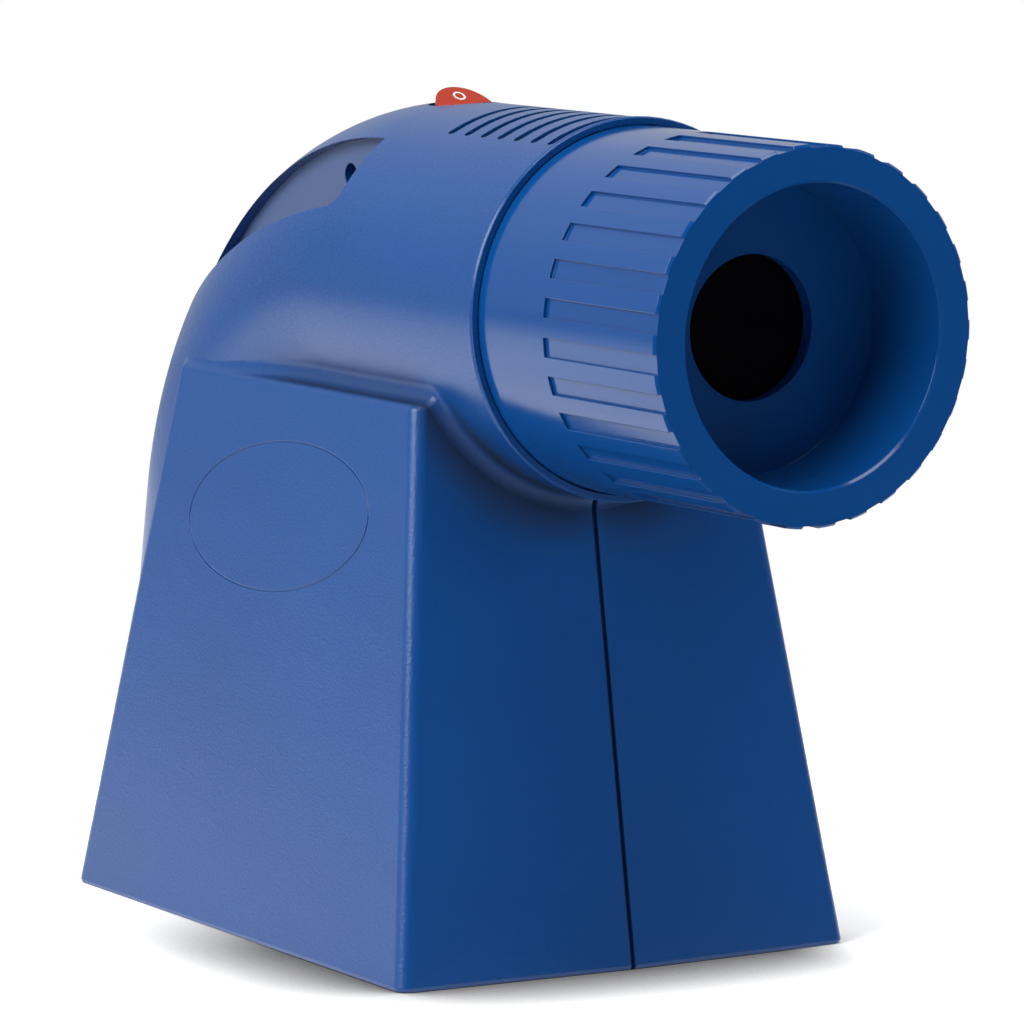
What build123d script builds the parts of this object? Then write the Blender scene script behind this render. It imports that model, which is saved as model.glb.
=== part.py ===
from build123d import *
from math import atan, cos, radians, sin, sqrt, tan
import os

# Desk-top opaque projector: a two-piece moulded housing with a flared base, a round bent tube
# that carries the mirror and the lamp, and a lens sleeve that slides in the tube's mouth.
#
# Millimetres. +Z up, the lens looks along -Y, +X is the projector's left as it faces forward.
# The origin is on the table, under the middle of the projector's overall length and width.

# ---------------------------------------------------------------- overall form
overall_length = 328.6        # front of the lens sleeve, as left, to the back of the leg
axis_height = 185.5           # lens axis above the table
tube_radius = 53.5            # outside of the bent tube
tube_wall = 1.75
bend_radius = 86.3            # centre line of the bend
leg_lean = 9.0                # degrees that the leg leans forward from upright
skirt_width = 150.0           # flared base at the table
skirt_length = 190.0          # front corner to the back edge of the side wall, at the table
skirt_height = 158.8
skirt_top_width = 109.6
skirt_rake = 29.2             # how far the front wall leans back over its height
skirt_wall = 2.5
seam_crown = 2.4              # how far the front wall stands forward at the seam
corner_radius = 4.0           # upright corners of the flared base
shoulder_radius = 2.2         # round along the top of the flared base
throat_radius = 4.0           # hollow where the barrel runs into the flared base
foot_chamfer = 1.1
seam_groove_width = 1.7
seam_groove_depth = 1.7
side_line_height = 120.5      # middle of the fine oval line moulded into each side
side_line_setback = 93.0      # that middle ahead of the leg's centre line at the table
side_line_half = (50.5, 21.8)
side_line_rise = 0.112        # slope of the oval's long axis, towards the front
side_line_width = 0.5
side_line_depth = 0.25
fit_gap = 0.3                 # clearance between pieces that only seat on each other
turn_gap = 0.05               # radial clearance of pins in their holes

# ---------------------------------------------------------------- lens sleeve
sleeve_exposed = 86.5         # sleeve in front of the tube's mouth, as left
sleeve_engaged = 34.0         # sleeve inside the tube, as left
sleeve_gap = 0.35             # between the sleeve and the tube
sleeve_wall = 2.2
grip_length = 53.9            # recessed grip panels, from the front edge
grip_count = 30
grip_depth = 0.9
grip_share = 0.5              # part of each pitch that is recessed
hood_mouth_radius = 41.1
hood_floor_radius = 40.0
hood_depth = 30.0
hood_wall = 2.2
hood_floor = 4.2
lens_aperture = 20.0
lens_radius = 23.0
lens_edge = 3.2
lens_bulge = 3.0
lens_ring_length = 4.5
felt_width = 12.0
lip_radius = 1.2              # rounded lip round the tube's mouth
lip_rise = 0.4                # how far the lip stands out of the tube

# ---------------------------------------------------------------- vents, grip pockets, switch
vent_count = 7
vent_pitch = 8.65
vent_width = 3.2
vent_half_angle = 30.0        # degrees each side of the top
vent_setback = 4.3            # first vent behind the mouth
pocket_floor_x = 27.0
pocket_roof = 43.5            # pocket's upper wall outside the tube's centre line
pocket_setback = 0.5          # pocket's front wall ahead of the start of the bend
pocket_height = 25.0          # pocket's lower edge above the lens axis, at its front
pocket_drop = 43.0            # fall of that lower edge over the pocket's length
pocket_length = 103.0
pocket_corner = 6.0
rocker_radius = 9.8
rocker_hole_radius = 11.4
rocker_well_radius = 10.7
rocker_setback = 5.1          # rocker's centre behind the start of the bend
rocker_face_angle = 23.0      # each half of the face, from level
rocker_throw = 20.0           # whole rocking angle
rocker_face_depth = 2.2       # middle of the face below the crown of the tube
rocker_face_blend = 6.0       # hollow between the two halves
rocker_pivot_depth = 6.4
rocker_skirt = 3.4            # rocker below its pivot
pivot_pin_radius = 1.2
pivot_pin_length = 1.4
switch_radius = 13.0
switch_depth = 15.0
switch_flange = 3.6
terminal_width = 6.3
terminal_thickness = 0.8
terminal_length = 7.0
terminal_spacing = 7.0

# ---------------------------------------------------------------- mirror
mirror_setback = 17.0         # light path behind the start of the bend
mirror_length = 104.0
mirror_thickness = 3.0
mirror_top_half = 24.0
mirror_waist_half = 31.5
mirror_waist = (-10.0, 6.0)   # where the mirror widens, along its slope
mirror_half = 42.0
carrier_sheet = 1.5
carrier_border = 1.5
carrier_flange = 16.0
carrier_flange_span = (10.0, 50.0)
carrier_screw_spots = (18.0, 42.0)
clip_width = 9.0
clip_sheet = 0.6
clip_reach = 6.0
clip_spacing = 30.0

# ---------------------------------------------------------------- lamp
lamp_setback = 13.0           # lamp axis behind the leg's centre line
bulb_radius = 26.0
bulb_drop = 74.0              # lowest point of the bulb below the top of the leg
bulb_neck_radius = 13.5
bulb_length = 88.0
cap_radius = 13.0
cap_length = 25.0
socket_radius = 19.0
cap_seated = 15.0             # lamp cap inside the socket
socket_length = 38.0
bulb_glass = 1.0
bracket_sheet = 2.0
bracket_half = 24.9
bracket_ear = 16.0
bracket_depth = 16.0
reflector_sheet = 0.8
reflector_drop = 3.0          # reflector's upper edge below the top of the leg
reflector_length = 81.0
reflector_half_angle = 62.0
baffle_sheet = 1.2
baffle_drop = 36.0

# ---------------------------------------------------------------- copy window, cord inlet, screws
window_size = 127.0
window_corner = 3.0
copy_plate = 2.5
copy_plate_lift = 1.5
inlet_slot = (28.0, 3.0)
inlet_slot_count = 4
inlet_slot_pitch = 8.0
grommet_height = 22.0
grommet_bore = 3.6
grommet_radius = 5.2
grommet_flange = 7.6
grommet_flange_thickness = 1.6
boss_radius = 5.5
screw_radius = 1.7
screw_head_radius = 3.1
screw_head_height = 2.4
screw_grip = 5.0              # plastic under a screw's head
screw_length = 18.0
small_screw_length = 7.0

# ---------------------------------------------------------------- derived places
lean = radians(leg_lean)
front_y = -overall_length / 2
leg_foot_y = overall_length / 2 - tube_radius / cos(lean)
mouth_y = front_y + sleeve_exposed
bend_z = axis_height - bend_radius
leg_top_z = bend_z + bend_radius * sin(lean)
leg_length = leg_top_z / cos(lean)
bend_y = leg_foot_y - tan(lean) * leg_top_z - bend_radius * cos(lean)
skirt_front_y = leg_foot_y - skirt_length
skirt_back_rake = -tan(lean) * skirt_height
bore_radius = tube_radius - tube_wall
sleeve_radius = bore_radius - sleeve_gap
sleeve_length = sleeve_exposed + sleeve_engaged
crown_z = axis_height + tube_radius
under_table = 8.0             # how far cutting solids reach below the table

mirror_y = bend_y + mirror_setback
bulb_low = leg_length - bulb_drop
reflector_high = leg_length - reflector_drop
mirror_plane = Plane(origin=(0, mirror_y, axis_height), x_dir=(1, 0, 0), z_dir=(0, 1, 1))
lamp_plane = Plane(
    origin=(0, leg_foot_y + lamp_setback / cos(lean), 0), x_dir=(1, 0, 0), z_dir=(0, -sin(lean), cos(lean))
)
leg_plane = Plane(origin=(0, leg_foot_y, 0), x_dir=(1, 0, 0), z_dir=(0, -sin(lean), cos(lean)))


def across(x):
    """Plane square to X at x, with its own x along Y and its own y along Z."""
    return Plane.YZ.offset(x)


def on_axis(y):
    """Plane square to the lens axis at y, looking forward along -Y."""
    return Plane(origin=(0, y, axis_height), x_dir=(1, 0, 0), z_dir=(0, -1, 0))


# ---------------------------------------------------------------- housing
def bent_tube(radius):
    """Solid of the bent tube: out of the mouth, round the bend and down past the table."""
    with BuildPart() as tube:
        with BuildLine(Plane.YZ) as path:
            barrel = Line((mouth_y, axis_height), (bend_y, axis_height))
            bend = CenterArc((bend_y, bend_z), bend_radius, 90, leg_lean - 90)
            foot = (leg_foot_y + under_table * tan(lean), -under_table)
            Line(bend @ 1, foot)
        with BuildSketch(on_axis(mouth_y)):
            Circle(radius)
        sweep(path=path.line)
    return tube.part


def skirt_corners(height, inset):
    """Corners of the flared base's outline at a height, moved in by a wall."""
    rise = height / skirt_height
    half = skirt_width / 2 + rise * (skirt_top_width - skirt_width) / 2 - inset
    front = skirt_front_y + rise * skirt_rake + inset
    back = leg_foot_y + rise * skirt_back_rake - inset
    crown = seam_crown * half / (skirt_width / 2)
    return [(-half, back), (-half, front), (0, front - crown), (half, front), (half, back)]


def skirt(inset, levels):
    """Solid of the flared base, moved in by a wall, through (height, extra inset) levels."""
    with BuildPart() as base:
        for height, extra in levels:
            with BuildSketch(Plane.XY.offset(height)) as level:
                Polygon(*skirt_corners(height, inset + extra), align=None)
                uprights = level.vertices().sort_by(Axis.X)
                fillet(uprights[:2] + uprights[-2:], corner_radius - inset)
        loft(ruled=True)
        if inset == 0:
            fillet(base.faces().sort_by(Axis.Z)[-1].edges(), shoulder_radius)
    return base.part


def pocket_outline(grow):
    """Side outline of a grip pocket, grown by a wall."""
    front = bend_y - pocket_setback
    back = front + pocket_length
    floor = axis_height + pocket_height
    low = floor - pocket_drop
    roof = axis_height + pocket_roof
    with BuildSketch() as outline:
        with BuildLine():
            Line((front, roof), (front, floor))
            ThreePointArc((front, floor), (front + pocket_length / 2, floor - pocket_drop * 0.32), (back, low))
            Polyline((back, low), (back, roof), (front, roof))
        make_face()
        with Locations((bend_y, bend_z)):
            Circle(bend_radius + pocket_roof, mode=Mode.INTERSECT)
        fillet(outline.vertices().sort_by_distance((front, floor))[0], pocket_corner)
        if grow > 0:
            offset(amount=grow)
    return outline.sketch


def pocket_cut(floor_x, grow):
    """Both grip pockets as solids, from their floors outwards."""
    with BuildPart() as cut:
        with BuildSketch(across(floor_x)):
            add(pocket_outline(grow))
        extrude(amount=tube_radius)
        mirror(about=Plane.YZ)
    return cut.part


outer_tube = bent_tube(tube_radius)
outer_skirt = skirt(0, [(0, foot_chamfer / 2), (foot_chamfer, 0), (skirt_height, 0)])
with BuildPart() as outer_form:
    add(outer_tube)
    split(bisect_by=Plane.XY, keep=Keep.TOP)
    add(outer_skirt)
    throat = outer_form.edges().filter_by(GeomType.BSPLINE)
    fillet(throat.sort_by_distance((0, skirt_front_y, axis_height - tube_radius))[:2], throat_radius)
    add(pocket_cut(pocket_floor_x, 0), mode=Mode.SUBTRACT)

with BuildPart() as inner_form:
    add(bent_tube(bore_radius))
    add(skirt(skirt_wall, [(-under_table, 0), (skirt_height - skirt_wall, 0)]))
    add(pocket_cut(pocket_floor_x - tube_wall, tube_wall), mode=Mode.SUBTRACT)


def mirror_spot(along, behind):
    """(y, z) of a spot on the mirror's slope, so far along it and behind its face."""
    spot = mirror_plane.from_local_coords(Vector(0, along, behind))
    return spot.Y, spot.Z


flange_x = mirror_half + carrier_border + carrier_sheet
carrier_back = mirror_thickness + carrier_sheet
carrier_screws_at = [mirror_spot(a, carrier_back + carrier_flange / 2) for a in carrier_screw_spots]
socket_low = bulb_low + bulb_length + cap_length - cap_seated
socket_top = socket_low + socket_length
bracket_screw = lamp_plane.from_local_coords(Vector(0, 0, socket_top - 0.6 * bracket_ear))
bracket_screw_at = (bracket_screw.Y, bracket_screw.Z)

clamp_spots = [
    (skirt_front_y + skirt_wall + 2.2 * boss_radius, 2.6 * boss_radius),
    (skirt_front_y + skirt_rake * 0.8 + skirt_wall + 1.6 * boss_radius, skirt_height * 0.72),
    (leg_foot_y + bore_radius - 3 * boss_radius, 2.6 * boss_radius),
]
pocket_spot = (bend_y + 25.2, axis_height + 31.4)


def bosses(spots, start, radius):
    """Round bosses along X from a start distance to the housing wall, on both sides."""
    with BuildPart() as posts:
        with BuildSketch(across(start)):
            with Locations(*spots):
                Circle(radius)
        extrude(amount=skirt_width / 2)
        mirror(about=Plane.YZ)
    return posts.part


def front_groove():
    """The groove that the two halves leave down the front seam."""
    foot = skirt_front_y - seam_crown
    top_z = axis_height - tube_radius - fit_gap
    slope = skirt_rake / skirt_height
    with BuildPart() as groove:
        with BuildSketch(Plane.YZ):
            Polygon(
                (foot - under_table, 0),
                (foot + seam_groove_depth, 0),
                (foot + seam_groove_depth + slope * top_z, top_z),
                (foot - under_table + slope * top_z, top_z),
                align=None,
            )
        extrude(amount=seam_groove_width / 2, both=True)
    return groove.part


def side_oval():
    """A fine oval line moulded into each side wall."""
    slope = atan((skirt_width - skirt_top_width) / 2 / skirt_height)
    wall_x = side_line_height * tan(slope) - skirt_width / 2
    place = Plane(
        origin=(wall_x, leg_foot_y - side_line_setback, side_line_height),
        x_dir=(0, -1, side_line_rise),
        z_dir=(-cos(slope), 0, sin(slope)),
    )
    long_half, short_half = side_line_half
    with BuildPart() as oval:
        with BuildSketch(place):
            Ellipse(long_half, short_half)
            Ellipse(long_half - side_line_width, short_half - side_line_width, mode=Mode.SUBTRACT)
        extrude(amount=side_line_depth, both=True)
        mirror(about=Plane.YZ)
    return oval.part


rocker_y = bend_y + rocker_setback
pivot_z = crown_z - rocker_pivot_depth
bend_bore = bend_radius + bore_radius
switch_top = (
    axis_height
    + sqrt(bore_radius**2 - switch_radius**2)
    - (bend_bore - sqrt(bend_bore**2 - rocker_setback**2))
    - fit_gap
)
screw_hole = screw_radius + turn_gap
head_hole = screw_head_radius + fit_gap
grommet_spot = leg_plane.from_local_coords(Vector(0, tube_radius, grommet_height))
grommet_plane = Plane(origin=grommet_spot, x_dir=(1, 0, 0), z_dir=(0, cos(lean), sin(lean)))


def rods(spots, radius, start, end):
    """Round rods along X from start to end, one at each (y, z) spot."""
    with BuildPart() as bars:
        with BuildSketch(across(start)):
            with Locations(*spots):
                Circle(radius)
        extrude(amount=end - start)
    return bars.part


with BuildPart() as shell:
    add(outer_form.part)
    with BuildSketch(Plane.YZ):
        with Locations((mouth_y + lip_radius, axis_height + tube_radius + lip_rise - lip_radius)):
            Circle(lip_radius)
    revolve(axis=Axis((0, 0, axis_height), (0, 1, 0)))
    add(inner_form.part, mode=Mode.SUBTRACT)
    with BuildSketch(on_axis(mouth_y + 2 * lip_radius)):
        Circle(bore_radius)
    extrude(amount=4 * lip_radius, mode=Mode.SUBTRACT)
    add(bosses(clamp_spots + [pocket_spot], 0, boss_radius) & outer_form.part)
    add(bosses(carrier_screws_at, flange_x, boss_radius) & outer_form.part)
    add(bosses([bracket_screw_at], bracket_half, boss_radius) & outer_form.part)
    add(front_groove(), mode=Mode.SUBTRACT)
    add(side_oval(), mode=Mode.SUBTRACT)
    with BuildSketch(Plane.XY.offset(axis_height)):
        for i in range(vent_count):
            with Locations((0, mouth_y + vent_setback + i * vent_pitch)):
                SlotOverall(2 * tube_radius * sin(radians(vent_half_angle)), vent_width)
    extrude(amount=2 * tube_radius, mode=Mode.SUBTRACT)
    with BuildSketch(Plane.XY.offset(switch_top)):
        with Locations((0, rocker_y)):
            Circle(rocker_hole_radius)
    extrude(amount=tube_radius, mode=Mode.SUBTRACT)
    add(rods(clamp_spots, head_hole, screw_grip, skirt_width), mode=Mode.SUBTRACT)
    add(rods(clamp_spots, screw_hole, screw_grip - screw_length - 1, screw_grip), mode=Mode.SUBTRACT)
    add(rods([pocket_spot], head_hole, -skirt_width, -screw_grip), mode=Mode.SUBTRACT)
    add(rods([pocket_spot], screw_hole, -screw_grip, screw_length + 1 - screw_grip), mode=Mode.SUBTRACT)
    for side in (-1, 1):
        reach = flange_x + small_screw_length - carrier_sheet / 2
        add(rods(carrier_screws_at, screw_hole, side * flange_x, side * reach), mode=Mode.SUBTRACT)
        reach = bracket_half + small_screw_length
        add(rods([bracket_screw_at], screw_hole, side * bracket_half, side * reach), mode=Mode.SUBTRACT)
    with BuildSketch(grommet_plane.offset(-2 * tube_wall)):
        Circle(grommet_radius + turn_gap)
    extrude(amount=4 * tube_wall, mode=Mode.SUBTRACT)

with BuildPart() as housing_left:
    add(shell.part)
    split(bisect_by=Plane.YZ, keep=Keep.BOTTOM)
with BuildPart() as housing_right:
    add(shell.part)
    split(bisect_by=Plane.YZ, keep=Keep.TOP)


# ---------------------------------------------------------------- screws
def screws(spots, head_x, point_x):
    """Pan-head screws along X; the head's seat is at head_x and the point at point_x."""
    outward = screw_head_height if head_x > point_x else -screw_head_height
    shanks = rods(spots, screw_radius, point_x, head_x)
    return shanks + rods(spots, screw_head_radius, head_x, head_x + outward)


with BuildPart() as housing_screws:
    add(screws(clamp_spots, screw_grip, screw_grip - screw_length))
    add(screws([pocket_spot], -screw_grip, screw_length - screw_grip))

with BuildPart() as carrier_screws:
    for side in (-1, 1):
        seat = side * (flange_x - carrier_sheet)
        add(screws(carrier_screws_at, seat, seat + side * small_screw_length))

with BuildPart() as bracket_screws:
    for side in (-1, 1):
        seat = side * (bracket_half - bracket_sheet)
        add(screws([bracket_screw_at], seat, seat + side * small_screw_length))


# ---------------------------------------------------------------- lens sleeve
def ring_points(*points):
    """Points of a profile in the YZ plane, from (distance behind the sleeve's front, radius)."""
    return [(front_y + back, axis_height + radius) for back, radius in points]


def turned(*points):
    """Solid turned about the lens axis from (distance behind the sleeve's front, radius) points."""
    with BuildPart() as solid:
        with BuildSketch(Plane.YZ):
            Polygon(*ring_points(*points), align=None)
        revolve(axis=Axis((0, 0, axis_height), (0, 1, 0)))
    return solid.part


lens_seat = hood_depth + hood_floor
lens_bore = lens_radius + turn_gap
lens_front = lens_seat + 0.9
lens_back = lens_front + lens_edge
lens_ring_front = lens_back + 0.8
collar_length = lens_ring_front + lens_ring_length + 0.6 - lens_seat
felt_front = sleeve_length - felt_width - 4
felt_floor = sleeve_radius - 0.8
edge_break = 0.7

with BuildPart() as focus_sleeve:
    with BuildSketch(Plane.YZ):
        Polygon(
            *ring_points(
                (sleeve_length, sleeve_radius - sleeve_wall),
                (sleeve_length, sleeve_radius - edge_break),
                (sleeve_length - edge_break, sleeve_radius),
                (felt_front + felt_width, sleeve_radius),
                (felt_front + felt_width, felt_floor),
                (felt_front, felt_floor),
                (felt_front, sleeve_radius),
                (edge_break, sleeve_radius),
                (0, sleeve_radius - edge_break),
                (0, hood_mouth_radius + edge_break),
                (edge_break, hood_mouth_radius),
                (hood_depth, hood_floor_radius),
                (hood_depth, lens_aperture),
                (lens_seat, lens_aperture),
                (lens_seat, lens_bore),
                (lens_seat + collar_length, lens_bore),
                (lens_seat + collar_length, lens_bore + sleeve_wall),
                (lens_seat, lens_bore + sleeve_wall),
                (lens_seat, hood_floor_radius + hood_wall),
                (hood_wall + 1, hood_mouth_radius + hood_wall),
                (hood_wall + 1, sleeve_radius - sleeve_wall),
            ),
            align=None,
        )
    revolve(axis=Axis((0, 0, axis_height), (0, 1, 0)))
    with BuildSketch(on_axis(front_y + grip_length)):
        pitch = 360 / grip_count
        floor_radius = sleeve_radius - grip_depth
        half = sleeve_radius * sin(radians(pitch * grip_share / 2))
        with PolarLocations(floor_radius + grip_depth, grip_count, start_angle=pitch / 2):
            Rectangle(2 * grip_depth, 2 * half)
    extrude(amount=2 * grip_length, mode=Mode.SUBTRACT)

felt_band_part = turned(
    (felt_front, felt_floor),
    (felt_front, bore_radius - turn_gap),
    (felt_front + felt_width, bore_radius - turn_gap),
    (felt_front + felt_width, felt_floor),
)
with BuildPart() as felt_band:
    add(felt_band_part)

with BuildPart() as lens:
    with BuildSketch(Plane.YZ):
        with BuildLine():
            front = ring_points((lens_front - lens_bulge, 0), (lens_front, lens_radius))
            back = ring_points((lens_back, lens_radius), (lens_back + lens_bulge, 0))
            radius = (lens_radius**2 + lens_bulge**2) / (2 * lens_bulge)
            RadiusArc(front[0], front[1], radius)
            Line(front[1], back[0])
            RadiusArc(back[0], back[1], radius)
            Line(back[1], front[0])
        make_face()
    revolve(axis=Axis((0, 0, axis_height), (0, 1, 0)))

with BuildPart() as lens_ring:
    add(
        turned(
            (lens_ring_front, lens_aperture + 0.5),
            (lens_ring_front, lens_radius),
            (lens_ring_front + lens_ring_length, lens_radius),
            (lens_ring_front + lens_ring_length, lens_aperture + 0.5),
        )
    )

# ---------------------------------------------------------------- rocker switch
throw = radians(rocker_throw / 2)
rocker_plane = Plane(origin=(0, rocker_y, pivot_z), x_dir=(1, 0, 0), z_dir=(0, -sin(throw), cos(throw)))
rocker_side = Plane(origin=(0, rocker_y, pivot_z), x_dir=(0, cos(throw), sin(throw)), z_dir=(1, 0, 0))
face_middle = rocker_pivot_depth - rocker_face_depth
face_rise = 1.2 * rocker_radius * tan(radians(rocker_face_angle))

with BuildPart() as rocker:
    with BuildSketch(rocker_side) as side:
        Polygon(
            (-1.2 * rocker_radius, -rocker_skirt),
            (1.2 * rocker_radius, -rocker_skirt),
            (1.2 * rocker_radius, face_middle + face_rise),
            (0, face_middle),
            (-1.2 * rocker_radius, face_middle + face_rise),
            align=None,
        )
        middle = rocker_plane.from_local_coords(Vector(0, 0, face_middle))
        fillet(side.vertices().sort_by_distance(middle)[0], rocker_face_blend)
    extrude(amount=rocker_radius, both=True)
    with BuildSketch(rocker_plane.offset(-2 * rocker_skirt)):
        Circle(rocker_radius)
    extrude(amount=6 * rocker_skirt + face_rise, mode=Mode.INTERSECT)
    with BuildSketch(across(-rocker_radius - pivot_pin_length)):
        with Locations((rocker_y, pivot_z)):
            Circle(pivot_pin_radius)
    extrude(amount=2 * (rocker_radius + pivot_pin_length))

switch_bottom = switch_top - switch_depth
switch_case_radius = rocker_well_radius + 1.3
with BuildPart() as switch_body:
    with BuildSketch(Plane.XY.offset(switch_top)):
        with Locations((0, rocker_y)):
            Circle(switch_radius)
    extrude(amount=-switch_flange - pivot_pin_radius)
    with BuildSketch(Plane.XY.offset(switch_top)):
        with Locations((0, rocker_y)):
            Circle(switch_case_radius)
    extrude(amount=-switch_depth)
    with BuildSketch(Plane.XY.offset(switch_top)):
        with Locations((0, rocker_y)):
            Circle(rocker_well_radius)
    well_floor = pivot_z - rocker_skirt - rocker_radius * sin(throw) - 2 * fit_gap
    extrude(amount=well_floor - switch_top, mode=Mode.SUBTRACT)
    with BuildSketch(across(-2 * switch_radius)):
        with Locations((rocker_y, pivot_z)):
            Circle(pivot_pin_radius + turn_gap)
    extrude(amount=4 * switch_radius, mode=Mode.SUBTRACT)

with BuildPart() as switch_terminals:
    with BuildSketch(Plane.XY.offset(switch_bottom)):
        with Locations((0, rocker_y)):
            with GridLocations(0, terminal_spacing, 1, 2):
                Rectangle(terminal_width, terminal_thickness)
    extrude(amount=-terminal_length)

# ---------------------------------------------------------------- mirror and its carrier
def mirror_outline(border):
    """Corners of the mirror's outline with a border, narrowed at the top to clear the round tube."""
    low, high = mirror_waist
    end = mirror_length / 2 + border
    right = [
        (mirror_top_half + border, -end),
        (mirror_waist_half + border, low),
        (mirror_half + border, high),
        (mirror_half + border, end),
    ]
    return right + [(-x, y) for x, y in reversed(right)]


def slope_side(x):
    """Plane square to X at x, with its own x down the mirror's slope and its own y behind it."""
    return Plane(origin=(x, mirror_y, axis_height), x_dir=(0, 1, -1), z_dir=(1, 0, 0))


with BuildPart() as mirror_glass:
    with BuildSketch(mirror_plane):
        Polygon(*mirror_outline(0), align=None)
    extrude(amount=mirror_thickness)

with BuildPart() as mirror_carrier:
    with BuildSketch(mirror_plane.offset(mirror_thickness)):
        Polygon(*mirror_outline(carrier_border), align=None)
    extrude(amount=carrier_sheet)
    span = carrier_flange_span[1] - carrier_flange_span[0]
    with BuildSketch(slope_side(flange_x - carrier_sheet)):
        middle = (carrier_flange_span[0] + span / 2, carrier_back + carrier_flange / 2)
        with Locations(middle):
            Rectangle(span, carrier_flange + 2 * carrier_sheet)
    extrude(amount=carrier_sheet)
    mirror(about=Plane.YZ)
    add(rods(carrier_screws_at, screw_hole, -skirt_width, skirt_width), mode=Mode.SUBTRACT)

clip_end = mirror_length / 2 + carrier_border
with BuildPart() as mirror_clips:
    for place in (-clip_spacing / 2, clip_spacing / 2):
        with BuildSketch(slope_side(place - clip_width / 2)):
            for end in (-1, 1):
                Polygon(
                    (end * (clip_end - clip_reach), -clip_sheet),
                    (end * (clip_end + clip_sheet), -clip_sheet),
                    (end * (clip_end + clip_sheet), carrier_back + clip_sheet),
                    (end * (clip_end - 1.4 * clip_reach), carrier_back + clip_sheet),
                    (end * (clip_end - 1.4 * clip_reach), carrier_back),
                    (end * clip_end, carrier_back),
                    (end * clip_end, 0),
                    (end * (clip_end - clip_reach), 0),
                    align=None,
                )
        extrude(amount=clip_width)

# ---------------------------------------------------------------- lamp
def bulb_form(wall):
    """Solid of the bulb, moved in by its wall: a round end, a long shoulder and the neck."""
    waist = (bulb_radius - wall, bulb_low + bulb_radius)
    neck = (bulb_neck_radius - wall, bulb_low + bulb_length)
    with BuildPart() as form:
        with BuildSketch(Plane(origin=lamp_plane.origin, x_dir=(1, 0, 0), z_dir=(0, -cos(lean), -sin(lean)))):
            with BuildLine():
                CenterArc((0, waist[1]), waist[0], -90, 90)
                TangentArc(waist, neck, tangent=(0, 1))
                Polyline(neck, (0, neck[1]), (0, waist[1] - waist[0]))
            make_face()
        revolve(axis=Axis(lamp_plane.origin, lamp_plane.z_dir))
    return form.part


with BuildPart() as lamp_bulb:
    add(bulb_form(0))
    add(bulb_form(bulb_glass), mode=Mode.SUBTRACT)

with BuildPart() as lamp_cap:
    with BuildSketch(lamp_plane.offset(bulb_low + bulb_length)):
        Circle(cap_radius)
    extrude(amount=cap_length)
    chamfer(lamp_cap.faces().sort_by(Axis.Z)[-1].edges(), 3)

with BuildPart() as lamp_socket:
    with BuildSketch(lamp_plane.offset(socket_low)):
        Circle(socket_radius)
    extrude(amount=socket_length)
    chamfer(lamp_socket.faces().sort_by(Axis.Z)[0].edges(), 1.5)
    with BuildSketch(lamp_plane.offset(socket_low)):
        Circle(cap_radius + fit_gap)
    extrude(amount=cap_seated + fit_gap, mode=Mode.SUBTRACT)

with BuildPart() as lamp_bracket:
    with BuildSketch(lamp_plane.offset(socket_top)):
        Rectangle(2 * bracket_half, bracket_depth)
    extrude(amount=bracket_sheet)
    with BuildSketch(lamp_plane.offset(socket_top - bracket_ear)):
        with GridLocations(2 * bracket_half - bracket_sheet, 0, 2, 1):
            Rectangle(bracket_sheet, bracket_depth)
    extrude(amount=bracket_ear + bracket_sheet)
    add(rods([bracket_screw_at], screw_hole, -skirt_width, skirt_width), mode=Mode.SUBTRACT)

with BuildPart() as lamp_reflector:
    with BuildSketch(leg_plane.offset(reflector_high)):
        Circle(bore_radius - fit_gap)
        Circle(bore_radius - fit_gap - reflector_sheet, mode=Mode.SUBTRACT)
        side = 2 * bore_radius * sin(radians(reflector_half_angle))
        rise = 2 * bore_radius * cos(radians(reflector_half_angle))
        Polygon(
            (0, 0), (-side, rise), (-side, side), (side, side), (side, rise), align=None, mode=Mode.INTERSECT
        )
    extrude(amount=-reflector_length)

baffle_top = mirror_spot(clip_end + clip_sheet, carrier_back)


def inner_half(height):
    """Half the inside width of the flared base at a height."""
    return skirt_corners(height, skirt_wall)[3][0]


with BuildPart() as light_baffle:
    top_z = baffle_top[1] - 2 * clip_sheet
    low_z = top_z - baffle_drop
    tilt = window_size / 2 / axis_height / 2
    with BuildSketch(Plane(origin=(0, baffle_top[0] + fit_gap, top_z), x_dir=(1, 0, 0), z_dir=(0, 1, tilt))):
        Polygon(
            (-inner_half(top_z) + 2 * fit_gap, 0),
            (inner_half(top_z) - 2 * fit_gap, 0),
            (inner_half(low_z) - 2 * fit_gap, baffle_drop),
            (-inner_half(low_z) + 2 * fit_gap, baffle_drop),
            align=None,
        )
    extrude(amount=baffle_sheet)

# ---------------------------------------------------------------- copy plate and cord inlet
with BuildPart() as copy_plate_part:
    level = copy_plate_lift
    with BuildSketch(Plane.XY.offset(level)) as outline:
        Polygon(*skirt_corners(level + copy_plate, skirt_wall + fit_gap), align=None)
        uprights = outline.vertices().sort_by(Axis.X)
        fillet(uprights[:2] + uprights[-2:], corner_radius - skirt_wall)
        with Locations((0, leg_foot_y - tan(lean) * (level + copy_plate))):
            Ellipse(bore_radius - fit_gap, (bore_radius - fit_gap) / cos(lean))
        with Locations((0, mirror_y)):
            RectangleRounded(window_size, window_size, window_corner, mode=Mode.SUBTRACT)
        with Locations((0, leg_foot_y + bore_radius / 2)):
            with GridLocations(0, inlet_slot_pitch, 1, inlet_slot_count):
                SlotOverall(*inlet_slot, mode=Mode.SUBTRACT)
    extrude(amount=copy_plate)

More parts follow.
